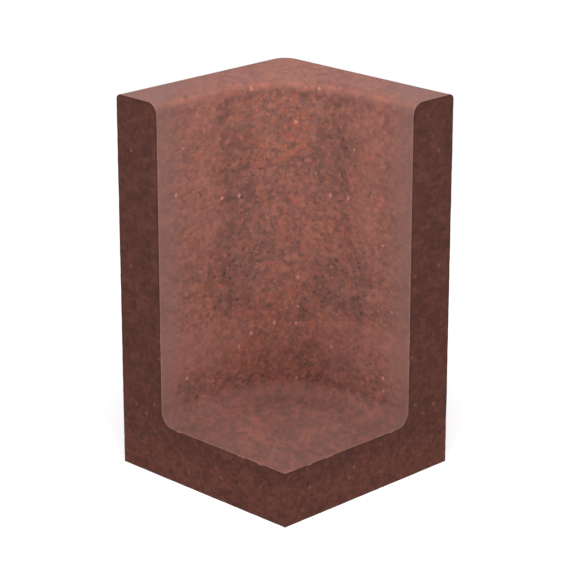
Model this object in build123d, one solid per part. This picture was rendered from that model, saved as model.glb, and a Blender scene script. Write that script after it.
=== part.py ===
from build123d import *
import os

# Corner block of a small retaining wall, cast in one piece of through-coloured concrete.
# Two upright walls meet at a right angle, and a square foot fills the corner between them.
# Millimetres. +Z is up, and the origin is on the ground under the middle of the square plan.
# The walls stand along the +X and +Y sides, so the open side of the foot looks towards -X and -Y.

# Main sizes
side_length = 240.0  # each outer face, from the outer corner to the end face
height = 400.0
wall_thickness = 60.0
foot_thickness = 58.0

# Upright corners
outer_corner_radius = 20.0  # arris where the two outer faces meet
inner_corner_radius = 80.0  # wide hollow where the two inner faces meet

# Rounded edges along the walls
cove_radius = 16.0  # hollow between the walls and the foot
top_inner_radius = 13.0  # wall top, on the filled side
top_outer_radius = 6.0  # wall top, on the visible side

# How far the cutting shape for the fill space stands out past the open sides and the top
overshoot = 50.0


def square_from_corner(corner, length):
    """A square whose highest corner in X and Y is at the given place."""
    middle = corner - length / 2
    return Pos(middle, middle) * Rectangle(length, length)


def round_corner(outline, corner, radius):
    """Rounds the one corner of an outline that lies at the given place in X and in Y."""
    here = [v for v in outline.vertices() if abs(v.X - corner) + abs(v.Y - corner) < radius / 2]
    return fillet(here, radius)


def full_block():
    """The whole square prism, with its outer corner rounded."""
    outer_face = side_length / 2
    outline = square_from_corner(outer_face, side_length)
    return extrude(round_corner(outline, outer_face, outer_corner_radius), height)


def fill_space():
    """The room for the fill above the foot, with a round inner corner and a cove at its foot."""
    inner_face = side_length / 2 - wall_thickness
    length = side_length - wall_thickness + overshoot
    outline = round_corner(square_from_corner(inner_face, length), inner_face, inner_corner_radius)
    space = Pos(0, 0, foot_thickness) * extrude(outline, height - foot_thickness + overshoot)
    floor_edges = space.faces().sort_by(Axis.Z)[0].edges()
    open_side = inner_face - length
    cove_edges = [e for e in floor_edges if min(e.center().X, e.center().Y) > open_side + overshoot / 2]
    return fillet(cove_edges, cove_radius)


def round_wall_tops(block):
    """Rounds both long edges of the wall tops, and leaves the short edges at the end faces sharp."""
    end_face = -side_length / 2
    wall_middle = (side_length - wall_thickness) / 2
    top_edges = block.faces().sort_by(Axis.Z)[-1].edges()
    long_edges = [e for e in top_edges if min(e.center().X, e.center().Y) > end_face + wall_thickness / 4]
    outer = [e for e in long_edges if max(e.center().X, e.center().Y) > wall_middle]
    block = fillet(outer, top_outer_radius)
    top_edges = block.faces().sort_by(Axis.Z)[-1].edges()
    long_edges = [e for e in top_edges if min(e.center().X, e.center().Y) > end_face + wall_thickness / 4]
    inner = [e for e in long_edges if max(e.center().X, e.center().Y) < wall_middle]
    return fillet(inner, top_inner_radius)


corner_block = round_wall_tops(full_block() - fill_space())

os.makedirs("parts", exist_ok=True)
export_step(corner_block, "parts/corner_block.step")
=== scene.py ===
import math

import bpy
import numpy as np
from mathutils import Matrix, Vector

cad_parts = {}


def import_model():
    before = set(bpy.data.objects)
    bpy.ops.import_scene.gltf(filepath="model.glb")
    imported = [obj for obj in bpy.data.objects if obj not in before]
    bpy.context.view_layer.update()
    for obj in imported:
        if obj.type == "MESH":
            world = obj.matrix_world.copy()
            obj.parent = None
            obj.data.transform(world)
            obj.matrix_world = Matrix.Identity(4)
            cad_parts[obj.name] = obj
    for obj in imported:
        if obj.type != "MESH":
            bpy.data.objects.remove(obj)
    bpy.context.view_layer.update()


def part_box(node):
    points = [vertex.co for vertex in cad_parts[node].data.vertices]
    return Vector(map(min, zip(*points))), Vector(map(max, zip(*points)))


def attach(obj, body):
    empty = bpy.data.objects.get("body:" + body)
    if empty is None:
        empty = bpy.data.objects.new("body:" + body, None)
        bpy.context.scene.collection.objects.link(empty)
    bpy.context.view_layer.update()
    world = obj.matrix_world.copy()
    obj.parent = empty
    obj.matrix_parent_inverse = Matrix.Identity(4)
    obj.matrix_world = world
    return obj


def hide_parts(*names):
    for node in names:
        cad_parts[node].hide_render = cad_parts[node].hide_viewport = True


# Corner block of a small retaining wall, cast in one piece of red-brown concrete. Metres, +Z up.
# The walls stand along the +X and +Y sides, and the open side of the foot looks towards -X and -Y.

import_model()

# Shape of the block, from the frame and from the sizes that it was drawn with
low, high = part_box("corner_block")
END_FACE = low.x  # both walls end here, at -X and at -Y
OUTER_FACE = high.x  # the same at +X and at +Y
HEIGHT = high.z
WALL = 0.06
FOOT = 0.058
INNER_FACE = OUTER_FACE - WALL
HOLLOW_RADIUS = 0.08
OUTER_CORNER_RADIUS = 0.02
COVE_RADIUS = 0.016
TOP_INNER_RADIUS = 0.013
TOP_OUTER_RADIUS = 0.006


# A number or vector in a node tree

def math_method(operation):
    """A method that makes a Math node of a field and another number."""
    return lambda field, other: field.math(operation, other)


class Field:
    """An output of a node, which takes part in sums as a plain number does."""

    def __init__(self, tree, socket):
        self.tree = tree
        self.socket = socket

    __add__ = math_method("ADD")
    __sub__ = math_method("SUBTRACT")
    __mul__ = math_method("MULTIPLY")
    __truediv__ = math_method("DIVIDE")
    __gt__ = math_method("GREATER_THAN")
    __lt__ = math_method("LESS_THAN")
    larger = math_method("MAXIMUM")
    smaller = math_method("MINIMUM")

    def __neg__(self):
        return self.math("MULTIPLY", -1.0)

    def inverse(self):
        """1 where this field is 0, and 0 where it is 1."""
        return self.math("MULTIPLY_ADD", -1.0, 1.0)

    def math(self, operation, *others):
        """A Math node whose first input is this field."""
        sockets = dict(enumerate([self, *others]))
        return add(self.tree, "ShaderNodeMath", sockets, operation=operation)

    def vector_math(self, operation, *others):
        """A Vector Math node whose first input is this field."""
        sockets = dict(enumerate([self, *others]))
        return add(self.tree, "ShaderNodeVectorMath", sockets, operation=operation)

    def times(self, factor):
        """This vector, made longer or shorter."""
        return add(self.tree, "ShaderNodeVectorMath", {0: self, "Scale": factor}, operation="SCALE")

    def length(self):
        """How long this vector is."""
        return add(self.tree, "ShaderNodeVectorMath", {0: self}, "Value", operation="LENGTH")

    def parts(self):
        """The X, Y and Z of this vector."""
        split = add(self.tree, "ShaderNodeSeparateXYZ", {0: self}, out=None)
        return [Field(self.tree, output) for output in split.outputs]

    def ramp(self, start, end, start_value=0.0, end_value=1.0, smooth=True):
        """Goes from one value to another while this field goes from start to end."""
        ends = {"Value": self, 1: start, 2: end, 3: start_value, 4: end_value}
        kind = "SMOOTHSTEP" if smooth else "LINEAR"
        return add(self.tree, "ShaderNodeMapRange", ends, interpolation_type=kind)

    def fall(self, start, end):
        """Goes from 1 to 0 while this field goes from start to end."""
        return self.ramp(start, end, 1.0, 0.0)

    def band(self, start, full, fading, end):
        """1 from full to fading, and 0 before start and after end."""
        return self.ramp(start, full) * self.fall(fading, end)

    def pick(self, when_false, when_true):
        """One of two values, where this field is 0 or 1."""
        return add(self.tree, "ShaderNodeMix", {0: self, 2: when_false, 3: when_true})


def join(tree, value, socket):
    """Links a field to a socket, or sets the socket to a plain value."""
    if isinstance(value, Field):
        tree.links.new(value.socket, socket)
    else:
        socket.default_value = value


def add(tree, kind, sockets=None, out=0, **settings):
    """A node with its settings and inputs, as the field of one of its outputs or, with out=None, itself."""
    node = tree.nodes.new(kind)
    for name, value in settings.items():
        setattr(node, name, value)
    for name, value in (sockets or {}).items():
        join(tree, value, node.inputs[name])
    return node if out is None else Field(tree, node.outputs[out])


def combine(tree, x, y, z):
    """A vector from three numbers."""
    return add(tree, "ShaderNodeCombineXYZ", {0: x, 1: y, 2: z})


def noise(tree, vector, size, detail=2.0, roughness=0.5, distortion=0.0, seed=0.0):
    """Cloudy noise from 0 to 1, whose patches are about the given size across."""
    sockets = {"Vector": vector, "W": seed, "Scale": 1 / size, "Detail": detail}
    sockets.update({"Roughness": roughness, "Distortion": distortion})
    return add(tree, "ShaderNodeTexNoise", sockets, noise_dimensions="4D")


def blend_colours(tree, amount, below, above, kind="MIX"):
    """One colour over another."""
    sockets = {0: amount, 6: below, 7: above}
    return add(tree, "ShaderNodeMix", sockets, 2, data_type="RGBA", blend_type=kind)


def linear(level):
    """A level from 0 to 255, as a screen shows it, as the linear value that a shader takes."""
    share = level / 255
    return share / 12.92 if share < 0.04045 else ((share + 0.055) / 1.055) ** 2.4


def paint(red, green, blue):
    """A colour for a shader, from levels as a screen shows them."""
    return [linear(red), linear(green), linear(blue), 1.0]


SOCKETS = {
    "Geometry": "NodeSocketGeometry",
    "Chips": "NodeSocketGeometry",
    "Place": "NodeSocketVector",
}  # every other input or output of a group is a number


def new_tree(name, inputs, outputs):
    """An empty node group, for a mesh or a shader, and the fields of its inputs."""
    kind = "GeometryNodeTree" if "Geometry" in inputs else "ShaderNodeTree"
    tree = bpy.data.node_groups.new(name, kind)
    for label in inputs:
        carried = SOCKETS.get(label, "NodeSocketFloat")
        socket = tree.interface.new_socket(label, in_out="INPUT", socket_type=carried)
        if inputs[label] is not None:
            socket.default_value = inputs[label]
    for label in outputs:
        carried = SOCKETS.get(label, "NodeSocketFloat")
        tree.interface.new_socket(label, in_out="OUTPUT", socket_type=carried)
    entry = tree.nodes.new("NodeGroupInput")
    tree.nodes.new("NodeGroupOutput")
    return tree, {label: Field(tree, entry.outputs[label]) for label in inputs}


def give(tree, **results):
    """Joins fields to the named outputs of a group."""
    end = next(n for n in tree.nodes if n.bl_idname == "NodeGroupOutput")
    for label, field in results.items():
        tree.links.new(field.socket, end.inputs[label])


def use_group(tree, group, sockets):
    """A group placed in a tree, as a dict of the fields of its outputs."""
    kind = tree.bl_idname.replace("Tree", "Group")
    node = add(tree, kind, sockets, None, node_tree=group)
    return {output.name: Field(tree, output) for output in node.outputs}


def put_in_scene(name, data):
    """An object with a mesh, lamp or camera, in the scene."""
    thing = bpy.data.objects.new(name, data)
    bpy.context.scene.collection.objects.link(thing)
    return thing


# The blank: the block with square corners, as a closed grid of quads

FACE_STEP = 0.0026  # cell size out on the faces
ARRIS_STEPS = (0.0006, 0.0008, 0.0011, 0.0015)  # cells beside an arris, from the arris inwards


def run(start, end, arris_at_start=False, arris_at_end=False):
    """Grid lines from start up to, but without, end, close together where the run meets an arris."""
    head = start + np.cumsum(ARRIS_STEPS) if arris_at_start else np.array([])
    tail = end - np.cumsum(ARRIS_STEPS)[::-1] if arris_at_end else np.array([])
    first = head[-1] if arris_at_start else start
    last = tail[0] if arris_at_end else end
    cells = max(1, math.ceil((last - first) / FACE_STEP))
    middle = np.linspace(first, last, cells + 1)[1:-1]
    lines = [[start], head, middle, tail if arris_at_end else []]
    return np.concatenate(lines)


def side_lines():
    """Grid lines along X, and along Y, with one on each line where a curve begins."""
    return np.concatenate([
        run(END_FACE, INNER_FACE - HOLLOW_RADIUS, arris_at_start=True),
        run(INNER_FACE - HOLLOW_RADIUS, INNER_FACE - COVE_RADIUS),
        run(INNER_FACE - COVE_RADIUS, INNER_FACE),
        run(INNER_FACE, INNER_FACE + TOP_INNER_RADIUS, arris_at_start=True),
        run(INNER_FACE + TOP_INNER_RADIUS, OUTER_FACE - OUTER_CORNER_RADIUS),
        run(OUTER_FACE - OUTER_CORNER_RADIUS, OUTER_FACE - TOP_OUTER_RADIUS),
        run(OUTER_FACE - TOP_OUTER_RADIUS, OUTER_FACE, arris_at_end=True),
        [OUTER_FACE],
    ])


def up_lines():
    """Grid lines along Z, with one on each line where a curve begins."""
    return np.concatenate([
        run(0.0, FOOT, arris_at_start=True, arris_at_end=True),
        run(FOOT, FOOT + COVE_RADIUS),
        run(FOOT + COVE_RADIUS, HEIGHT - TOP_INNER_RADIUS),
        run(HEIGHT - TOP_INNER_RADIUS, HEIGHT - TOP_OUTER_RADIUS),
        run(HEIGHT - TOP_OUTER_RADIUS, HEIGHT, arris_at_end=True),
        [HEIGHT],
    ])


# Chips that the picture shows on the arrises of the end faces: the distance along the arris and the length.
# Those on the foot count from the open corner, and those on the walls count from the ground.
FOOT_CHIPS = ((0.036, 0.008), (0.061, 0.007), (0.066, 0.006), (0.155, 0.007))
WALL_CHIPS = ((0.128, 0.006), (0.15, 0.008), (0.157, 0.006))


def chip_places():
    """The middle of each chip, on both sides of the block, and its length."""
    places = []
    for along, length in FOOT_CHIPS:
        places.append(((END_FACE, END_FACE + along, FOOT), length))
        places.append(((END_FACE + along, END_FACE, FOOT), length))
    for up, length in WALL_CHIPS:
        places.append(((END_FACE, INNER_FACE, up), length))
        places.append(((INNER_FACE, END_FACE, up), length))
    return places


def blank_mesh():
    """The skin between the filled and the empty cells of the grid, and a loose point in each chip."""
    side = side_lines()
    up = up_lines()
    across = (side[1:] + side[:-1]) / 2 > INNER_FACE
    in_foot = (up[1:] + up[:-1]) / 2 < FOOT
    block = across[:, None, None] | across[None, :, None] | in_foot[None, None, :]
    filled = np.pad(block, 1).astype(int)
    quads = []
    for axis in range(3):
        second = (axis + 1) % 3
        third = (axis + 2) % 3
        for facing in (1, -1):
            cells = np.argwhere(np.diff(filled, axis=axis) == -facing)
            ring = np.zeros((4, 3), int)
            ring[:, [second, third]] = ((-1, -1), (0, -1), (0, 0), (-1, 0))[::facing]
            quads.append(cells[:, None] + ring)
    corners = np.concatenate(quads).reshape(-1, 3)
    places, numbers = np.unique(corners, axis=0, return_inverse=True)
    points = np.stack([side[places[:, 0]], side[places[:, 1]], up[places[:, 2]]], axis=1)
    chips = chip_places()
    vertices = points.tolist() + [place for place, length in chips]
    lengths = [0.0] * len(points) + [length for place, length in chips]
    mesh = bpy.data.meshes.new("blank")
    mesh.from_pydata(vertices, [], numbers.reshape(-1, 4).tolist())
    mesh.attributes.new("chip_length", "FLOAT", "POINT").data.foreach_set("value", lengths)
    return mesh


# Geometry Nodes: rounding the blank's corners, and the relief of the cast surface

HALF_CORNER = math.pi / 4
TINY = 1e-6  # keeps a division clear of 0
JUST_OVER = 1.01  # takes in the points on the line where an arc begins


def fan(across, along, centre):
    """Turns the square corner beyond a centre into a round one: rows of the grid become arcs about it."""
    reach = across - centre
    beyond = (along - centre) > 0.0
    angle = (along - centre) / reach.larger(TINY) * HALF_CORNER
    turned = beyond.pick(0.0, angle)
    new_across = reach * turned.math("COSINE") + centre
    new_along = beyond.pick(along, reach * turned.math("SINE") + centre)
    return new_across, new_along


def round_edge(first, second, radius):
    """Rounds an edge in the plane across it. Both numbers count from the arc's centre towards the edge."""
    larger = first.larger(second)
    smaller = first.smaller(second)
    beside_edge = (smaller > 0.0) * (larger < radius * JUST_OVER)
    angle = smaller / larger.larger(TINY) * HALF_CORNER
    far = larger * angle.math("COSINE")
    near = larger * angle.math("SINE")
    first_is_larger = first > second
    new_first = first_is_larger.pick(near, far)
    new_second = first_is_larger.pick(far, near)
    return beside_edge.pick(first, new_first), beside_edge.pick(second, new_second)


def rounding_tree():
    """A group that moves the points of the blank onto the round corners, cove and wall tops."""
    inputs = {
        "Geometry": None,
        "Outer Face": OUTER_FACE,
        "Inner Face": INNER_FACE,
        "Height": HEIGHT,
        "Foot": FOOT,
        "Hollow Radius": HOLLOW_RADIUS,
        "Outer Corner Radius": OUTER_CORNER_RADIUS,
        "Cove Radius": COVE_RADIUS,
        "Top Inner Radius": TOP_INNER_RADIUS,
        "Top Outer Radius": TOP_OUTER_RADIUS,
    }
    tree, size = new_tree("round_the_blank", inputs, ["Geometry"])
    x, y, z = add(tree, "GeometryNodeInputPosition").parts()
    x_is_larger = x > y
    across = x.larger(y)
    along = x.smaller(y)
    side = across

    cove_line = size["Inner Face"] - size["Cove Radius"]
    cove_top = size["Foot"] + size["Cove Radius"]
    first, second = round_edge(side - cove_line, cove_top - z, size["Cove Radius"])
    side = first + cove_line
    z = cove_top - second

    inner_line = size["Inner Face"] + size["Top Inner Radius"]
    inner_start = size["Height"] - size["Top Inner Radius"]
    first, second = round_edge(inner_line - side, z - inner_start, size["Top Inner Radius"])
    side = inner_line - first
    z = second + inner_start

    outer_line = size["Outer Face"] - size["Top Outer Radius"]
    outer_start = size["Height"] - size["Top Outer Radius"]
    first, second = round_edge(side - outer_line, z - outer_start, size["Top Outer Radius"])
    side = first + outer_line
    z = second + outer_start

    hollow_centre = size["Inner Face"] - size["Hollow Radius"]
    corner_centre = size["Outer Face"] - size["Outer Corner Radius"]
    past_centre = along > hollow_centre
    share = (side - hollow_centre) / (across - hollow_centre).larger(TINY)
    along = past_centre.pick(along, (along - hollow_centre) * share + hollow_centre)
    hollow_across, hollow_along = fan(side, along, hollow_centre)
    corner_across, corner_along = fan(side, along, corner_centre)
    outward = side.ramp(inner_line, outer_line)
    side = outward.pick(hollow_across, corner_across)
    along = outward.pick(hollow_along, corner_along)
    place = combine(tree, x_is_larger.pick(along, side), x_is_larger.pick(side, along), z)
    moved = add(tree, "GeometryNodeSetPosition", {"Geometry": size["Geometry"], "Position": place})
    give(tree, Geometry=moved)
    return tree


def recorded(tree, name):
    """A value that the mesh holds under a name."""
    return add(tree, "GeometryNodeInputNamedAttribute", {"Name": name}, data_type="FLOAT")


def record(tree, geometry, values, domain):
    """A mesh that also holds the given values, each under its name."""
    for name, value in values.items():
        stored = {"Geometry": geometry, "Name": name, "Value": value}
        geometry = add(tree, "GeometryNodeStoreNamedAttribute", stored, domain=domain, data_type="FLOAT")
    return geometry


ARRIS_ANGLE = math.radians(40)  # edges sharper than this are arrises
ARRIS_BAND = 0.006  # the finish of an arris reaches this far into the faces
RELIEF = {
    "Seed": 4.0,
    "Wave Depth": 0.00022,
    "Ripple Depth": 0.00012,
    "Arris Wear": 0.00028,
    "Chip Depth": 0.0011,
}
WAVE_LENGTH = 0.11
RIPPLE_LENGTH = 0.022
CALM_EDGE = (0.001, 0.008)  # waves and ripples come up over these distances from an arris
WORN_STRETCH = 0.012  # an arris is worn more and less over this length
NOTCH_STRETCH = 0.018  # and has a small notch in some of the stretches of this length
NOTCH_SHARE = 0.8  # a notch's depth, as a share of a chip's
WEAR_SLOPE = 2.4  # wear reaches this many times its depth into the faces
CHIP_SLOPE = 2.2  # a chip does the same
NARROWEST_WEAR = 0.0002
CHIP_TEETH = 0.004  # the rim of a chip wanders over this length
CHIP_CORE = 0.45  # a chip has its full depth up to this share of the way to its rim
FRESH_BREAK = 0.0006  # where this much more is missing, only the fresh break is seen
BREAK_STARTS = 0.6  # this share of it shows no break yet


def nearest_arris(tree, skin, facing):
    """For each point: the nearest place on an arris, how far it is, and which way is outward there."""
    bend = add(tree, "GeometryNodeInputMeshEdgeAngle")
    sharp = add(tree, "FunctionNodeCompare", {0: bend, 1: ARRIS_ANGLE}, operation="GREATER_THAN")
    parted = {"Geometry": skin, "Selection": sharp}
    arrises = add(tree, "GeometryNodeSeparateGeometry", parted, domain="EDGE")
    nearest = add(tree, "GeometryNodeProximity", {0: arrises}, None, target_element="EDGES")
    number = add(tree, "GeometryNodeSampleNearest", {0: arrises})
    sampled = {"Geometry": arrises, 1: facing, 2: number}
    outward = add(tree, "GeometryNodeSampleIndex", sampled, data_type="FLOAT_VECTOR")
    beside = Field(tree, nearest.outputs["Position"])
    distance = Field(tree, nearest.outputs["Distance"])
    return beside, distance, outward.vector_math("NORMALIZE")


def chip_depth(tree, size, position):
    """How deep the chips go at each point, as if the arris ran through it."""
    distance = add(tree, "GeometryNodeProximity", {0: size["Chips"]}, "Distance", target_element="POINTS")
    number = add(tree, "GeometryNodeSampleNearest", {0: size["Chips"]})
    sampled = {"Geometry": size["Chips"], 1: recorded(tree, "chip_length"), 2: number}
    length = add(tree, "GeometryNodeSampleIndex", sampled, data_type="FLOAT")
    teeth = noise(tree, position, CHIP_TEETH, roughness=0.6, seed=size["Seed"] + 3.0)
    to_rim = distance * teeth.ramp(0.3, 0.7, 0.7, 1.4) / (length * 0.6)
    return to_rim.fall(CHIP_CORE, 1.0) * size["Chip Depth"]


def missing_at_arris(tree, size, beside, distance, chips):
    """How much is missing at each point near an arris: its wear, its small notches and the chips."""
    seed = size["Seed"]
    worn = noise(tree, beside, WORN_STRETCH, detail=3.0, roughness=0.6, seed=seed)
    notches = noise(tree, beside, NOTCH_STRETCH, detail=1.0, seed=seed + 7.0)
    wear = size["Arris Wear"] * worn.ramp(0.3, 0.75, 0.3, 1.5)
    depth = wear + notches.ramp(0.76, 0.86) * size["Chip Depth"] * NOTCH_SHARE
    wear_left = (distance / (depth * WEAR_SLOPE + NARROWEST_WEAR)).inverse().larger(0.0)
    chip_left = (distance / (size["Chip Depth"] * CHIP_SLOPE)).inverse().larger(0.0)
    return (depth * wear_left * wear_left).larger(chips * chip_left)


def relief_tree():
    """A group that gives the smooth block the waves, worn arrises and chips of a cast one."""
    inputs = {"Geometry": None, "Chips": None, **RELIEF}
    tree, size = new_tree("cast_relief", inputs, ["Geometry"])
    position = add(tree, "GeometryNodeInputPosition")
    normal = add(tree, "GeometryNodeInputNormal")
    capture = tree.nodes.new("GeometryNodeCaptureAttribute")
    capture.capture_items.new("VECTOR", "Facing")
    join(tree, size["Geometry"], capture.inputs["Geometry"])
    join(tree, normal, capture.inputs["Facing"])
    skin = Field(tree, capture.outputs["Geometry"])
    facing = Field(tree, capture.outputs["Facing"])

    beside, distance, outward = nearest_arris(tree, skin, facing)
    chips = chip_depth(tree, size, position)
    missing = missing_at_arris(tree, size, beside, distance, chips)

    wave = noise(tree, position, WAVE_LENGTH, detail=1.0, seed=size["Seed"]) * size["Wave Depth"]
    ripple = noise(tree, position, RIPPLE_LENGTH, seed=size["Seed"]) * size["Ripple Depth"]
    sink = facing.times(-((wave + ripple) * distance.ramp(*CALM_EDGE)))
    offset = sink.vector_math("ADD", outward.times(-missing))
    finished = add(tree, "GeometryNodeSetPosition", {"Geometry": skin, "Offset": offset})
    marks = {
        "chipped": (missing / FRESH_BREAK - BREAK_STARTS).larger(0.0).smaller(1.0),
        "beside_arris": (distance / ARRIS_BAND).inverse().larger(0.0),
    }
    give(tree, Geometry=record(tree, finished, marks, "POINT"))
    return tree


TOUCHING = 0.0001  # a point this close to a plane lies in it
SQUARE_ON = 0.9  # a normal with this share along an axis looks along that axis


def block_tree(hollow_side, ends, outside):
    """The whole rule of the block: round the blank, tell its faces apart, and give it the relief."""
    tree, size = new_tree("cast_corner_block", {"Geometry": None, "Seed": 0.0}, ["Geometry"])
    is_chip = {"Geometry": size["Geometry"], "Selection": recorded(tree, "chip_length") > 0.0}
    parted = add(tree, "GeometryNodeSeparateGeometry", is_chip, None, domain="POINT")
    chips = Field(tree, parted.outputs["Selection"])
    blank = Field(tree, parted.outputs["Inverted"])
    x, y, z = add(tree, "GeometryNodeInputPosition").parts()
    nx, ny = add(tree, "GeometryNodeInputNormal").parts()[:2]
    on_end_x = (x < END_FACE + TOUCHING) * (nx < -SQUARE_ON)
    on_end_y = (y < END_FACE + TOUCHING) * (ny < -SQUARE_ON)
    on_end = on_end_x.larger(on_end_y)
    on_outer_face = x.larger(y) > OUTER_FACE - TOUCHING
    on_outside = on_outer_face.larger(z < TOUCHING) * (on_end < 0.5)
    marked = record(tree, blank, {"end_face": on_end, "outside_face": on_outside}, "FACE")
    rounded = use_group(tree, rounding_tree(), {"Geometry": marked})["Geometry"]
    sockets = {"Geometry": rounded, "Chips": chips, "Seed": size["Seed"]}
    relief = use_group(tree, relief_tree(), sockets)["Geometry"]
    smooth = add(tree, "GeometryNodeSetShadeSmooth", {"Geometry": relief})
    real = add(tree, "GeometryNodeRealizeInstances", {"Geometry": smooth})
    finished = add(tree, "GeometryNodeSetMaterial", {"Geometry": real, "Material": hollow_side})
    for name, material in (("end_face", ends), ("outside_face", outside)):
        chosen = {"Geometry": finished, "Selection": recorded(tree, name) > 0.5, "Material": material}
        finished = add(tree, "GeometryNodeSetMaterial", chosen)
    give(tree, Geometry=finished)
    return tree


def cast_block(materials):
    """The block as one plain mesh."""
    raw = put_in_scene("blank", blank_mesh())
    rule = raw.modifiers.new("cast_corner_block", "NODES")
    rule.node_group = block_tree(*materials)
    sockets = rule.node_group.interface.items_tree
    seed = next(s for s in sockets if s.in_out == "INPUT" and s.name == "Seed")
    rule[seed.identifier] = RELIEF["Seed"]
    evaluated = raw.evaluated_get(bpy.context.evaluated_depsgraph_get())
    mesh = bpy.data.meshes.new_from_object(evaluated)
    mesh.name = "cast_block"
    bpy.data.objects.remove(raw)
    return put_in_scene("cast_block", mesh)


# Concrete: what the cast surfaces have in common, as shader groups

COMMON = {"Place": None, "Seed": 0.0}  # inputs of every group
NOISE_SPREAD = (0.25, 0.75)  # noise seldom leaves this range


def in_units_of(given, size):
    """The place, counted in patches or grains of the size that an input gives."""
    return given["Place"].times(given[size].math("POWER", -1.0))


def paste_tree():
    """Unevenness of the paste in soft patches of many sizes: how light it is, and how red."""
    inputs = {**COMMON, "Patch Size": 0.02, "Swirl": 0.0}
    tree, given = new_tree("cast_paste", inputs, ["Tone", "Redness"])
    patches = in_units_of(given, "Patch Size")
    seed = given["Seed"]
    tone = noise(tree, patches, 1.0, 5.0, 0.68, given["Swirl"], seed)
    redness = noise(tree, patches, 1.4, 4.0, 0.65, given["Swirl"], seed + 11.0)
    tone = tone.ramp(*NOISE_SPREAD, smooth=False)
    redness = redness.ramp(*NOISE_SPREAD, smooth=False)
    give(tree, Tone=tone, Redness=redness)
    return tree


def grains_tree():
    """Grains of sand that lie in the surface, each of its own size, or small air holes."""
    inputs = {**COMMON, "Grain Size": 0.003, "Share": 0.2}
    tree, given = new_tree("surface_grains", inputs, ["Grains"])
    cells = in_units_of(given, "Grain Size")
    sockets = {"Vector": cells, "W": given["Seed"], "Scale": 1.0}
    pebble = add(tree, "ShaderNodeTexVoronoi", sockets, None, voronoi_dimensions="4D")
    chance, size = Field(tree, pebble.outputs["Color"]).parts()[:2]
    radius = size.ramp(0.0, 1.0, 0.25, 0.5, smooth=False)
    inside = (Field(tree, pebble.outputs["Distance"]) / radius).fall(0.55, 1.1)
    give(tree, Grains=inside * (chance < given["Share"]))
    return tree


def lumps_tree():
    """The coated sand of the cast skin: each lump has its own shade, and a dark rim."""
    inputs = {**COMMON, "Lump Size": 0.005}
    tree, given = new_tree("coated_sand", inputs, ["Shade", "Rim"])
    lumps = in_units_of(given, "Lump Size")
    seed = given["Seed"]
    moved = lumps.vector_math("ADD", combine(tree, seed, seed, seed))
    uneven = add(tree, "ShaderNodeTexNoise", {"Vector": moved, "Scale": 1.3, "Detail": 1.0}, "Color")
    moved = moved.vector_math("ADD", uneven.times(0.8))
    lump = add(tree, "ShaderNodeTexVoronoi", {"Vector": moved, "Scale": 1.0}, None)
    shade = Field(tree, lump.outputs["Color"]).parts()[0]
    rim = Field(tree, lump.outputs["Distance"]).ramp(0.35, 0.8)
    give(tree, Shade=shade, Rim=rim)
    return tree


def film_tree():
    """Pale lime film that dried in soft streaks, which run down an upright face."""
    inputs = {**COMMON, "Patch Size": 0.05, "Run": 0.3}
    tree, given = new_tree("lime_film", inputs, ["Film"])
    x, y, z = given["Place"].parts()
    drawn = combine(tree, x, y, z * given["Run"]).times(given["Patch Size"].math("POWER", -1.0))
    film = noise(tree, drawn, 1.0, 4.0, 0.55, 0.4, given["Seed"])
    give(tree, Film=film.ramp(0.42, 0.75))
    return tree


def skin_tree():
    """Height of the finest relief: the grain of the paste, less the air holes."""
    inputs = {**COMMON, "Grain Size": 0.002, "Holes": 0.0}
    tree, given = new_tree("skin_relief", inputs, ["Height"])
    grain = in_units_of(given, "Grain Size")
    fine = noise(tree, grain, 1.0, 3.0, 0.7, 0.0, given["Seed"])
    broad = noise(tree, grain, 6.0, 2.0, 0.5, 0.0, given["Seed"] + 5.0)
    give(tree, Height=fine * 0.5 + broad * 0.5 - given["Holes"])
    return tree


GROUPS = {
    "paste": paste_tree(),
    "grains": grains_tree(),
    "lumps": lumps_tree(),
    "film": film_tree(),
    "skin": skin_tree(),
}

SHEEN_LEVEL = 0.25  # specular level of dry concrete
SKIN_GRAIN = 0.0016
SKIN_DEPTH = 0.0009
SKIN_STRENGTH = 0.7
POURING = 0.52  # patches are this long along the way the concrete was poured, where 1 is as long as across
BROKEN = paint(168, 128, 118)  # a fresh break, paler than the cast skin
MILLIMETRE = 0.001
GRAIN_RADIUS = 0.0022
PATCH_RADIUS = 0.0034
SPOT_TEETH = 0.0035  # the rim of a single grain or patch wanders over this length


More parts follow.
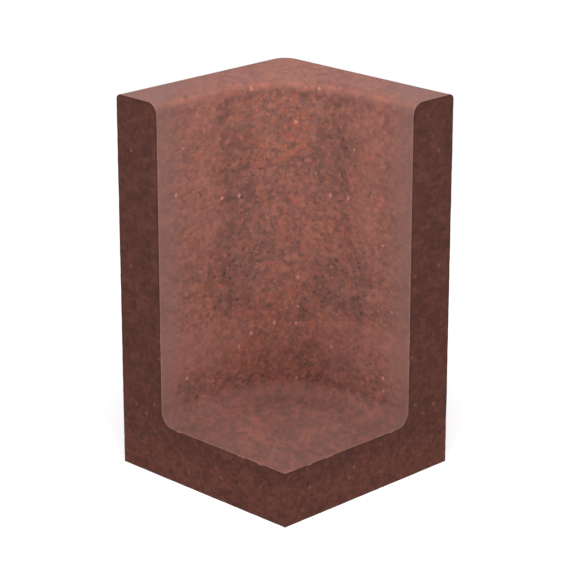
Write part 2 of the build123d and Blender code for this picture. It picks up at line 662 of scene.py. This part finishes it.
class Finish:
    """One material of the block while it is put together: a colour, layer by layer, and a relief."""

    def __init__(self, name, seed):
        self.material = bpy.data.materials.new(name)
        self.material.use_nodes = True
        self.tree = self.material.node_tree
        self.seed = seed
        self.place = add(self.tree, "ShaderNodeTexCoord", out="Object")
        x, y, z = self.place.parts()
        along = (x + y) * (0.5 * (1.0 - POURING))  # poured from the open corner towards the outer one
        self.poured = combine(self.tree, x - along, y - along, z)
        self.colour = None

    def group(self, name, seed, place=None, **sockets):
        """The outputs of one of the shared groups."""
        given = {"Place": place or self.place, "Seed": self.seed + seed}
        given.update({label.replace("_", " ").title(): value for label, value in sockets.items()})
        return use_group(self.tree, GROUPS[name], given)

    def noise(self, size, seed, place=None, detail=2.0, roughness=0.6, distortion=0.0):
        """Cloudy noise of this material."""
        return noise(self.tree, place or self.place, size, detail, roughness, distortion, self.seed + seed)

    def mark(self, name):
        """A value that the geometry left on the mesh."""
        return add(self.tree, "ShaderNodeAttribute", out="Fac", attribute_name=name)

    def spots(self, places, radius):
        """Single grains or patches at known places, the same on both sides of the block."""
        x, y, z = self.place.parts()
        unfolded = combine(self.tree, (x - y).math("ABSOLUTE"), z, 0.0)
        nearest = None
        for aside, height in places:
            ends = {0: unfolded, 1: (aside * MILLIMETRE, height * MILLIMETRE, 0.0)}
            distance = add(self.tree, "ShaderNodeVectorMath", ends, "Value", operation="DISTANCE")
            nearest = nearest.smaller(distance) if nearest else distance
        ragged = self.noise(SPOT_TEETH, 9.0).ramp(0.3, 0.7, 0.6, 1.4, smooth=False)
        return (nearest / radius * ragged).fall(0.5, 1.25)

    def start(self, amount, dark, light):
        """The first layer: a blend of two colours."""
        self.colour = blend_colours(self.tree, amount, dark, light)

    def lay(self, where, colour, strength=1.0, kind="MIX"):
        """One more layer of colour, of the given strength where the mask is 1."""
        self.colour = blend_colours(self.tree, where * strength, self.colour, colour, kind)

    def darken(self, where, colour, strength=1.0):
        """Lets a thin dark layer down on the colours so far: white leaves them as they are."""
        self.lay(where, colour, strength, "MULTIPLY")

    def finish(self, roughness, seed, holes):
        """Joins the colour, roughness and relief to the shader."""
        self.lay(self.mark("chipped"), BROKEN)
        shader = self.tree.nodes["Principled BSDF"]
        shader.inputs["Specular IOR Level"].default_value = SHEEN_LEVEL
        height = self.group("skin", seed, grain_size=SKIN_GRAIN, holes=holes)["Height"]
        sockets = {"Height": height, "Strength": SKIN_STRENGTH, "Distance": SKIN_DEPTH}
        join(self.tree, self.colour, shader.inputs["Base Color"])
        join(self.tree, roughness, shader.inputs["Roughness"])
        join(self.tree, add(self.tree, "ShaderNodeBump", sockets), shader.inputs["Normal"])
        return self.material


def distance_to_wall(x, y):
    """How far a place on the foot is from the walls, and from the hollow where they meet."""
    centre = INNER_FACE - HOLLOW_RADIUS
    past_x = (x - centre).larger(0.0)
    past_y = (y - centre).larger(0.0)
    return ((past_x * past_x + past_y * past_y).math("SQRT") - HOLLOW_RADIUS) * -1.0


# The largest single grains and patches that the picture shows, in millimetres: how far aside
# each one lies, and how high. The distance aside is the difference of X and Y, 0 in the middle plane.
PALE_GRAINS = ((92, 284), (67, 282), (49, 394), (144, 100), (16, 137), (69, 116))
CLAY_PATCHES = ((60, 317), (120, 332), (95, 190), (18, 359), (6, 343), (126, 335), (34, 250))
DARK_GRAINS = (
    (123, 296), (121, 293), (26, 317), (36, 307), (12, 293), (43, 272),
    (76, 213), (64, 205), (45, 190), (103, 201), (117, 184), (107, 180),
    (32, 174), (102, 168), (112, 163), (50, 80), (33, 78),
)
END_PALE_GRAINS = (
    (191, 78), (203, 65), (219, 71), (99, 35), (92, 26),
    (139, 18), (35, 33), (183, 131), (219, 345), (223, 222),
)
END_DARK_GRAINS = ((68, 28), (196, 249), (220, 30))

# Where things lie on the filled side, in metres: heights, and distances aside. Two numbers are the start and
# end of a slope, and four are a band, which comes up over the first two and goes down over the last two.
WALL_END = (0.13, 0.178)
FOOT_TOP = (FOOT + 0.001, FOOT + 0.02)
WALL_TOP = (HEIGHT - 0.014, HEIGHT - 0.004)
CLAY_ASIDE = (0.03, 0.09)
CLAY_MIDDLE = (0.01, 0.045)
CLAY_MIDDLE_HEIGHTS = (0.15, 0.19, 0.33, 0.37)
UPPER_CLOUDS = (0.03, 0.052, 0.078, 0.1)
UPPER_CLOUD_HEIGHTS = (0.25, 0.29, 0.35, 0.38)
LOWER_CLOUDS = (0.03, 0.052, 0.105, 0.125)
LOWER_CLOUD_HEIGHTS = (0.15, 0.165, 0.205, 0.23)
WASHED_BELOW = (0.03, 0.07)
WASHED_BELOW_HEIGHTS = (0.09, 0.12, 0.145, 0.158)
WASHED_BESIDE = (0.088, 0.108, 0.13, 0.15)
WASHED_BESIDE_HEIGHTS = (0.2, 0.27)
SILT_FROM_WALL = (0.008, 0.022, 0.03, 0.05)
SILT_ASIDE = (0.03, 0.07)
JUNCTION_SHADE_FROM_WALL = (0.0, 0.055)
JUNCTION_SHADE_ABOVE_FOOT = (0.004, 0.16)
JUNCTION_SHADE_ASIDE = (0.03, 0.14)
SHADE_LIFTED_HEIGHTS = (FOOT + 0.004, FOOT + 0.016)
SHADE_LIFTED_ASIDE = (0.05, 0.1)
FOOT_FRONT = (END_FACE + 0.006, END_FACE + 0.058)
FOOT_FRONT_ASIDE = (0.0, 0.05)
DEEPEST = (0.0, 0.08)
TOP_ROUNDING = (HEIGHT - 0.01, HEIGHT - 0.004, HEIGHT - 0.004, HEIGHT - 0.001)
BELOW_ROUNDING = (HEIGHT - 0.022, HEIGHT - 0.011, HEIGHT - 0.008, HEIGHT - 0.003)
BELOW_ROUNDING_ASIDE = (0.0, 0.045)
ROUNDING_MIDDLE = (HEIGHT - 0.015, HEIGHT - 0.01, HEIGHT - 0.006, HEIGHT - 0.002)
ROUNDING_MIDDLE_ASIDE = (0.01, 0.045)
TOP_ENDS = (0.03, 0.12)
TOP_MIDDLE = (0.0, 0.06)

# Colours of the filled side, as a screen shows them
DEEP_PASTE = paint(110, 68, 59)
LIGHT_PASTE = paint(167, 112, 101)
WARM_PASTE = paint(158, 86, 68)
GREY_PASTE = paint(116, 90, 82)
LIGHT_SAND = paint(182, 112, 94)
DARK_SAND = paint(108, 76, 69)
SAND_RIM = paint(92, 64, 59)
LIGHT_SPECKLE = paint(186, 118, 100)
DARK_SPECKLE = paint(90, 60, 54)
CLAY = paint(176, 97, 75)
CLOUD = paint(86, 68, 62)
WASHED = paint(176, 114, 101)
SILT = paint(88, 68, 65)
BLACK_SAND = paint(70, 58, 57)
BRIGHT_SAND = paint(192, 116, 95)
PALE_SAND = paint(216, 148, 128)
LIME_FILM = paint(135, 103, 96)
TROWEL_DARK = paint(104, 78, 74)
TROWEL_LIGHT = paint(160, 100, 90)
FOOT_LIGHT = paint(176, 105, 89)
FOOT_DARK = paint(108, 80, 76)
FOOT_DUST = paint(150, 110, 103)
ROUNDING_HIGHLIGHT = paint(186, 112, 92)
TOP_DUST = paint(158, 118, 112)
TOP_CLAY = paint(190, 120, 103)
WORN_ARRIS = paint(168, 122, 112)

# Thin dark layers on the filled side: painted shade, and plain darker tones
JUNCTION_SHADE = paint(214, 198, 192)
FRONT_DARKENING = paint(229, 229, 229)
FOOT_DARKENING = paint(226, 226, 226)
HOLLOW_MIDDLE_SHADE = paint(247, 247, 247)
BELOW_ROUNDING_SHADE = paint(242, 242, 244)
ROUNDING_MIDDLE_SHADE = paint(237, 235, 235)
TOP_DARKENING = paint(245, 243, 243)
TOP_END_DARKENING = paint(246, 246, 246)


class FilledSide:
    """Where a point of the filled side lies, as distances in metres and masks from 0 to 1."""

    def __init__(self, made):
        self.x, self.y, self.z = made.place.parts()
        self.aside = (self.x - self.y).math("ABSOLUTE")
        self.from_wall = distance_to_wall(self.x, self.y).larger(0.0)
        self.at_end = self.aside.ramp(*WALL_END)
        self.on_foot = self.z.fall(*FOOT_TOP)
        self.on_top = self.z.ramp(*WALL_TOP)
        calm = (self.at_end * 0.42).larger(self.on_foot * 0.2).larger(self.on_top * 0.3)
        self.lively = calm.inverse()


def lay_paste(made, at):
    """The red-brown paste, uneven in tone and redness."""
    paste = made.group("paste", 0.0, place=made.poured, patch_size=0.016)
    tone = (paste["Tone"] - 0.5) * at.lively + 0.5
    redness = (paste["Redness"] - 0.5) * at.lively + 0.5
    made.start(tone, DEEP_PASTE, LIGHT_PASTE)
    made.lay(redness.ramp(0.5, 0.9), WARM_PASTE, strength=0.5)
    made.lay(redness.fall(0.1, 0.5), GREY_PASTE, strength=0.35)
    return paste


def lay_sand(made, at):
    """The sand under its coat of paste: light and dark lumps, their rims, and a finer speckle."""
    sand = made.group("lumps", 36.0, place=made.poured, lump_size=0.0044)
    speckle = made.noise(0.0052, 20.0, place=made.poured)
    made.lay(sand["Shade"].ramp(0.45, 1.0) * at.lively, LIGHT_SAND, strength=0.42)
    made.lay(sand["Shade"].fall(0.0, 0.45) * at.lively, DARK_SAND, strength=0.34)
    made.lay(sand["Rim"] * at.lively, SAND_RIM, strength=0.26)
    made.lay(speckle.ramp(0.5, 0.7) * at.lively, DARK_SPECKLE, strength=0.42)
    made.lay(speckle.fall(0.28, 0.5) * at.lively, LIGHT_SPECKLE, strength=0.5)
    return speckle


def lay_clay(made, at):
    """Orange clay, most of it in the middle of the hollow, and a few large patches."""
    crumbs = made.noise(0.008, 21.0, place=made.poured).ramp(0.47, 0.72)
    fields = made.noise(0.06, 22.0, roughness=0.5).ramp(0.35, 0.62, 0.4, 1.0)
    fields = fields * at.aside.ramp(*CLAY_ASIDE, 1.0, 0.45)
    middle = at.aside.fall(*CLAY_MIDDLE) * at.z.band(*CLAY_MIDDLE_HEIGHTS)
    clay = crumbs * (fields + middle * 0.35) * 0.75
    patches = made.spots(CLAY_PATCHES, PATCH_RADIUS) * 0.6
    made.lay(clay.larger(patches) * at.lively, CLAY)


def lay_clouds(made, at):
    """Clouds of dark sand on each side of the hollow, high up and lower down, and the washed places."""
    upper = at.aside.band(*UPPER_CLOUDS) * at.z.band(*UPPER_CLOUD_HEIGHTS)
    lower = at.aside.band(*LOWER_CLOUDS) * at.z.band(*LOWER_CLOUD_HEIGHTS)
    drifts = made.noise(0.042, 23.0, detail=3.0, roughness=0.55)
    clouds = (drifts + upper.larger(lower) * 0.13).ramp(0.48, 0.68) * at.lively
    made.lay(clouds, CLOUD, strength=0.28)
    below = at.aside.ramp(*WASHED_BELOW) * at.z.band(*WASHED_BELOW_HEIGHTS)
    beside = at.aside.band(*WASHED_BESIDE) * at.z.ramp(*WASHED_BESIDE_HEIGHTS) * 0.8
    made.lay(below.larger(beside), WASHED, strength=0.28)
    return clouds


def lay_grains(made, at, speckle, clouds):
    """Silt on the foot in front of the hollow, and single grains: black, bright and pale."""
    from_corner = at.from_wall + (at.z - FOOT) * 0.36
    silt = from_corner.band(*SILT_FROM_WALL) * at.aside.fall(*SILT_ASIDE) * at.on_foot
    made.lay(silt * speckle.ramp(0.4, 0.62), SILT, strength=0.4)
    dark = made.group("grains", 24.0, place=made.poured, grain_size=0.0046, share=0.42)["Grains"]
    dark = dark * (clouds * 0.6 + silt * 0.5 + 0.36)
    dark = dark.larger(made.spots(DARK_GRAINS, GRAIN_RADIUS) * 0.8)
    made.lay(dark * at.lively, BLACK_SAND, strength=0.75)
    bright = made.group("grains", 39.0, place=made.poured, grain_size=0.0046, share=0.34)["Grains"]
    made.lay(bright * at.lively, BRIGHT_SAND, strength=0.5)
    pale = made.group("grains", 25.0, grain_size=0.0056, share=0.016)["Grains"]
    pale = pale.larger(made.spots(PALE_GRAINS, GRAIN_RADIUS))
    made.lay(pale, PALE_SAND, strength=0.7)
    return dark


def lay_film(made, at):
    """Lime film, thin in most places and thick at the ends of the walls."""
    film = made.group("film", 26.0, patch_size=0.04, run=0.7)["Film"]
    made.lay((at.at_end * 0.5).larger(film * 0.18), LIME_FILM)


def lay_foot(made, at):
    """The top of the foot, drawn out along both walls and lumpy."""
    along_x = combine(made.tree, at.x * 0.35, at.y, at.z)
    along_y = combine(made.tree, at.x, at.y * 0.35, at.z)
    drawn_x = made.noise(0.008, 28.0, place=along_x, detail=3.0)
    drawn_y = made.noise(0.008, 29.0, place=along_y, detail=3.0)
    trowelled = (at.x > at.y).pick(drawn_x, drawn_y)
    made.lay(trowelled.ramp(0.5, 0.7) * at.on_foot, TROWEL_DARK, strength=0.45)
    made.lay(trowelled.fall(0.3, 0.5) * at.on_foot, TROWEL_LIGHT, strength=0.4)
    lumps = made.noise(0.0068, 34.0, place=made.poured)
    made.lay(lumps.ramp(0.5, 0.66) * at.on_foot, FOOT_LIGHT, strength=0.55)
    made.lay(lumps.fall(0.34, 0.5) * at.on_foot, FOOT_DARK, strength=0.48)


def lay_painted_shade_and_dust(made, at):
    """Painted shade where the walls meet the foot, less along the cove; a darker tone at the foot's front
    edge; grey dust and a darker tone over the foot's top; and painted shade down the middle of the hollow.
    """
    # painted shade where the walls meet the foot, deepest in the middle of the hollow and lifted a little
    # along the cove
    up_the_wall = (at.z - FOOT).ramp(*JUNCTION_SHADE_ABOVE_FOOT, 1.0, 0.0, smooth=False)
    junction_shade = at.from_wall.fall(*JUNCTION_SHADE_FROM_WALL) * up_the_wall * at.aside.ramp(*JUNCTION_SHADE_ASIDE, 1.0, 0.15)
    shade_lifted = at.z.ramp(*SHADE_LIFTED_HEIGHTS) * at.aside.ramp(*SHADE_LIFTED_ASIDE) * 0.8
    made.darken(junction_shade * shade_lifted.inverse(), JUNCTION_SHADE, strength=0.82)
    # the foot darker towards its front edge, except in the middle
    at_front = at.x.smaller(at.y).fall(*FOOT_FRONT) * at.aside.ramp(*FOOT_FRONT_ASIDE)
    made.darken(at_front * at.on_foot, FRONT_DARKENING)
    made.lay(at.on_foot, FOOT_DUST, strength=0.25)
    # the whole top of the foot a little darker
    made.darken(at.on_foot, FOOT_DARKENING)
    # painted shade down the middle of the hollow, from the foot to the top
    made.darken(at.aside.fall(*DEEPEST), HOLLOW_MIDDLE_SHADE)


def lay_wall_top(made, at):
    """The top of the walls: a painted highlight in orange blotches on the rounding, painted shade below it
    and on its middle, and dust and a darker tone on top.
    """
    # a painted highlight along the inner rounding of the wall top, in orange blotches
    highlight_blotches = made.noise(0.018, 38.0, roughness=0.5).ramp(0.42, 0.6, 0.15, 1.0)
    made.lay(at.z.band(*TOP_ROUNDING) * highlight_blotches, ROUNDING_HIGHLIGHT, strength=0.55)
    # painted shade on the wall just below the rounding, fainter in the middle
    below = at.z.band(*BELOW_ROUNDING) * at.aside.ramp(*BELOW_ROUNDING_ASIDE, 0.35, 1.0)
    made.darken(below, BELOW_ROUNDING_SHADE)
    # painted shade on the rounding in the middle of the hollow
    middle = at.z.band(*ROUNDING_MIDDLE) * at.aside.fall(*ROUNDING_MIDDLE_ASIDE)
    made.darken(middle, ROUNDING_MIDDLE_SHADE)
    made.lay(at.on_top, TOP_DUST, strength=0.15)
    # the top of the walls a little darker
    made.darken(at.on_top, TOP_DARKENING)
    # the top of the walls darker towards their ends
    made.darken(at.on_top * at.aside.ramp(*TOP_ENDS), TOP_END_DARKENING)
    made.lay(at.on_top * at.aside.fall(*TOP_MIDDLE), TOP_CLAY, strength=0.12)


def hollow_side_concrete():
    """The filled side: speckled with clay and clouds of dark sand, calmer and greyer at its ends."""
    made = Finish("hollow_side_concrete", 1.0)
    at = FilledSide(made)
    paste = lay_paste(made, at)
    speckle = lay_sand(made, at)
    lay_clay(made, at)
    clouds = lay_clouds(made, at)
    dark = lay_grains(made, at, speckle, clouds)
    lay_film(made, at)
    lay_foot(made, at)
    lay_painted_shade_and_dust(made, at)
    lay_wall_top(made, at)
    made.lay(made.mark("beside_arris").ramp(0.5, 1.0), WORN_ARRIS, strength=0.18)
    roughness = paste["Tone"].ramp(0.2, 0.8, 0.78, 0.92)
    return made.finish(roughness, 27.0, holes=dark * 0.3)


# Colours of the end faces: the concrete's colours, darkened to a dark brown as painted shade
END_DEEP_PASTE = paint(62, 29, 21)
END_LIGHT_PASTE = paint(104, 61, 51)
END_WARM_PASTE = paint(100, 49, 36)
END_FOOT_EDGE = paint(126, 74, 62)
END_DARK_SPECKLE = paint(54, 28, 22)
END_LIGHT_SPECKLE = paint(114, 68, 57)
END_LIGHT_SAND = paint(114, 68, 58)
END_SAND_RIM = paint(66, 36, 30)
END_LIGHT_SWIRL = paint(114, 69, 58)
END_DARK_SWIRL = paint(66, 34, 27)
END_PALE_SAND = paint(140, 92, 80)
END_BLACK_SAND = paint(46, 25, 21)
END_LOWER_DARKENING = paint(248, 241, 237)
END_FILLED_EDGE = paint(58, 28, 22)


def painted_shade_end_face_concrete():
    """The faces that stand against the next block, and the foot's edge: close and nearly even, and darkened
    to a dark brown as painted shade.
    """
    made = Finish("painted_shade_end_face_concrete", 40.0)
    z = made.place.parts()[2]
    coarse = z.ramp(FOOT, FOOT + 0.04, 1.45, 0.8)  # the concrete is coarser in the foot's edge
    paste = made.group("paste", 0.0, place=made.poured, patch_size=0.013, swirl=1.2)
    # every colour of the end faces is kept dark: painted shade, as of a face that stands in shade
    made.start(paste["Tone"], END_DEEP_PASTE, END_LIGHT_PASTE)
    made.lay(paste["Redness"].ramp(0.5, 0.9), END_WARM_PASTE, strength=0.5)
    made.lay(z.fall(FOOT - 0.03, FOOT - 0.01), END_FOOT_EDGE, strength=0.34)
    speckle = made.noise(0.0066, 30.0, place=made.poured)
    made.lay(speckle.ramp(0.5, 0.72) * coarse, END_DARK_SPECKLE, strength=0.3)
    made.lay(speckle.fall(0.28, 0.5) * coarse, END_LIGHT_SPECKLE, strength=0.25)
    sand = made.group("lumps", 37.0, place=made.poured, lump_size=0.005)
    made.lay(sand["Shade"].ramp(0.5, 1.0) * coarse, END_LIGHT_SAND, strength=0.3)
    made.lay(sand["Rim"] * coarse, END_SAND_RIM, strength=0.3)
    swirls = made.noise(0.012, 35.0, place=made.poured, detail=3.0, roughness=0.66, distortion=1.0)
    made.lay(swirls.ramp(0.5, 0.66), END_LIGHT_SWIRL, strength=0.34)
    made.lay(swirls.fall(0.34, 0.5), END_DARK_SWIRL, strength=0.34)
    pale = made.group("grains", 31.0, grain_size=0.0056, share=0.012)["Grains"]
    pale = pale.larger(made.spots(END_PALE_GRAINS, GRAIN_RADIUS))
    made.lay(pale, END_PALE_SAND, strength=0.5)
    dark = made.group("grains", 32.0, grain_size=0.0055, share=0.12)["Grains"]
    dark = dark.larger(made.spots(END_DARK_GRAINS, GRAIN_RADIUS))
    made.lay(dark, END_BLACK_SAND, strength=0.5)
    # the end faces darker towards the bottom
    made.darken(z.fall(0.08, 0.36), END_LOWER_DARKENING)
    filled_edge = made.mark("beside_arris").ramp(0.35, 0.95) * z.ramp(FOOT - 0.012, FOOT - 0.006)
    made.lay(filled_edge, END_FILLED_EDGE, strength=0.5)
    roughness = paste["Tone"].ramp(0.2, 0.8, 0.82, 0.94)
    return made.finish(roughness, 33.0, holes=dark * 0.3)


# Colours of the outer faces
OUTER_DEEP_PASTE = paint(110, 70, 61)
OUTER_LIGHT_PASTE = paint(162, 108, 97)
OUTER_WARM_PASTE = paint(150, 84, 68)
OUTER_SPECKLE = paint(98, 64, 57)
OUTER_LIGHT_SAND = paint(170, 110, 96)
OUTER_SAND_RIM = paint(104, 72, 65)
OUTER_FILM = paint(152, 117, 108)
OUTER_DARK_SAND = paint(84, 62, 58)
OUTER_HOLE = paint(66, 42, 37)
OUTER_WORN_ARRIS = paint(168, 122, 111)


def outside_concrete():
    """The faces that the picture doesn't show, and the underside: even, with faint streaks and air holes."""
    made = Finish("outside_concrete", 70.0)
    paste = made.group("paste", 0.0, patch_size=0.03, swirl=0.3)
    made.start(paste["Tone"], OUTER_DEEP_PASTE, OUTER_LIGHT_PASTE)
    made.lay(paste["Redness"].ramp(0.5, 0.9), OUTER_WARM_PASTE, strength=0.4)
    speckle = made.noise(0.0066, 40.0)
    made.lay(speckle.ramp(0.5, 0.72), OUTER_SPECKLE, strength=0.25)
    sand = made.group("lumps", 45.0, lump_size=0.0052)
    made.lay(sand["Shade"].ramp(0.5, 1.0), OUTER_LIGHT_SAND, strength=0.25)
    made.lay(sand["Rim"], OUTER_SAND_RIM, strength=0.2)
    film = made.group("film", 41.0, patch_size=0.06, run=0.15)["Film"]
    made.lay(film, OUTER_FILM, strength=0.3)
    dark = made.group("grains", 42.0, grain_size=0.006, share=0.15)["Grains"]
    made.lay(dark, OUTER_DARK_SAND, strength=0.35)
    holes = made.group("grains", 43.0, grain_size=0.0055, share=0.05)["Grains"]
    made.lay(holes, OUTER_HOLE, strength=0.55)
    made.lay(made.mark("beside_arris").ramp(0.5, 1.0), OUTER_WORN_ARRIS, strength=0.3)
    roughness = paste["Tone"].ramp(0.2, 0.8, 0.76, 0.9)
    return made.finish(roughness, 44.0, holes=holes)


# Stage: a white floor and backdrop, and soft light

WORLD_LEVEL = 0.6
FLOOR_HALF = 8.0
FLOOR_GREY = 0.72
FLOOR_GLOW = 0.42
FLOOR_TURNS_WHITE = (0.5, 1.6)  # distances from the block


def white_to_the_eye(tree):
    """1 for rays that show a background: from the camera, or mirrored or passed through by a piece."""
    path = tree.nodes.new("ShaderNodeLightPath")
    seen = Field(tree, path.outputs["Is Camera Ray"])
    for ray in ("Is Glossy Ray", "Is Transmission Ray"):
        seen = seen.larger(Field(tree, path.outputs[ray]))
    return seen


def light_the_world():
    """An even light from all round, which shows as white."""
    world = bpy.data.worlds.new("studio")
    world.use_nodes = True
    tree = world.node_tree
    plain = tree.nodes["Background"]
    level = white_to_the_eye(tree).ramp(0.0, 1.0, WORLD_LEVEL, 1.0)
    join(tree, level, plain.inputs["Strength"])
    plain.inputs["Color"].default_value = (1, 1, 1, 1)
    bpy.context.scene.world = world


def floor_material():
    """Pale near the block, where the shadow lies, white further out, and clear from below."""
    material = bpy.data.materials.new("white_floor")
    material.use_nodes = True
    tree = material.node_tree
    tree.nodes.clear()
    matt = add(tree, "ShaderNodeBsdfDiffuse", {"Color": (FLOOR_GREY, FLOOR_GREY, FLOOR_GREY, 1)})
    glow = add(tree, "ShaderNodeEmission", {"Strength": FLOOR_GLOW})
    lifted = add(tree, "ShaderNodeAddShader", {0: matt, 1: glow})
    away = add(tree, "ShaderNodeTexCoord", out="Object").length()
    white = add(tree, "ShaderNodeEmission", {"Strength": 1.0})
    shown = add(tree, "ShaderNodeMixShader", {0: away.ramp(*FLOOR_TURNS_WHITE), 1: lifted, 2: white})
    by_ray = add(tree, "ShaderNodeMixShader", {0: white_to_the_eye(tree), 1: matt, 2: shown})
    below = add(tree, "ShaderNodeNewGeometry", out="Backfacing")
    clear = add(tree, "ShaderNodeBsdfTransparent")
    result = add(tree, "ShaderNodeMixShader", {0: below, 1: by_ray, 2: clear})
    end = tree.nodes.new("ShaderNodeOutputMaterial")
    join(tree, result, end.inputs["Surface"])
    return material


def lay_floor():
    """A wide floor under the block."""
    mesh = bpy.data.meshes.new("floor")
    reach = FLOOR_HALF
    corners = [(-reach, -reach, 0), (reach, -reach, 0), (reach, reach, 0), (-reach, reach, 0)]
    mesh.from_pydata(corners, [], [(0, 1, 2, 3)])
    mesh.materials.append(floor_material())
    put_in_scene("floor", mesh)


def aim(thing, place, target):
    """Puts a lamp or camera at a place and turns it to a target."""
    thing.location = place
    thing.rotation_euler = (Vector(target) - Vector(place)).to_track_quat("-Z", "Y").to_euler()


def softbox(name, azimuth, elevation, distance, size, watts):
    """A square lamp aimed at the block. Azimuth -45 is the open side."""
    lamp = bpy.data.lights.new(name, "AREA")
    lamp.size = size
    lamp.energy = watts
    turn = math.radians(azimuth)
    rise = math.radians(elevation)
    middle = Vector((0, 0, HEIGHT / 2))
    back = Vector((math.sin(turn) * math.cos(rise), -math.cos(turn) * math.cos(rise), math.sin(rise)))
    aim(put_in_scene(name, lamp), middle + back * distance, middle)


def place_camera():
    """The photograph's view, fitted to the block's outline: open corner in front, from a little above."""
    distance = 2.342  # from the middle of the block, along the floor
    height = 0.989
    tilt = math.radians(18.69)
    camera = bpy.data.cameras.new("camera")
    camera.lens = 151.3
    thing = put_in_scene("camera", camera)
    place = Vector((-distance / math.sqrt(2), -distance / math.sqrt(2), height))
    forward = Vector((math.cos(tilt) / math.sqrt(2), math.cos(tilt) / math.sqrt(2), -math.sin(tilt)))
    aim(thing, place, place + forward)
    bpy.context.scene.camera = thing


place_camera()
light_the_world()
lay_floor()
softbox("key", azimuth=-45, elevation=60, distance=2.2, size=1.2, watts=39)

bpy.context.scene.view_settings.view_transform = "Standard"

finishes = (hollow_side_concrete(), painted_shade_end_face_concrete(), outside_concrete())
block = cast_block(finishes)
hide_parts("corner_block")
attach(block, "root")
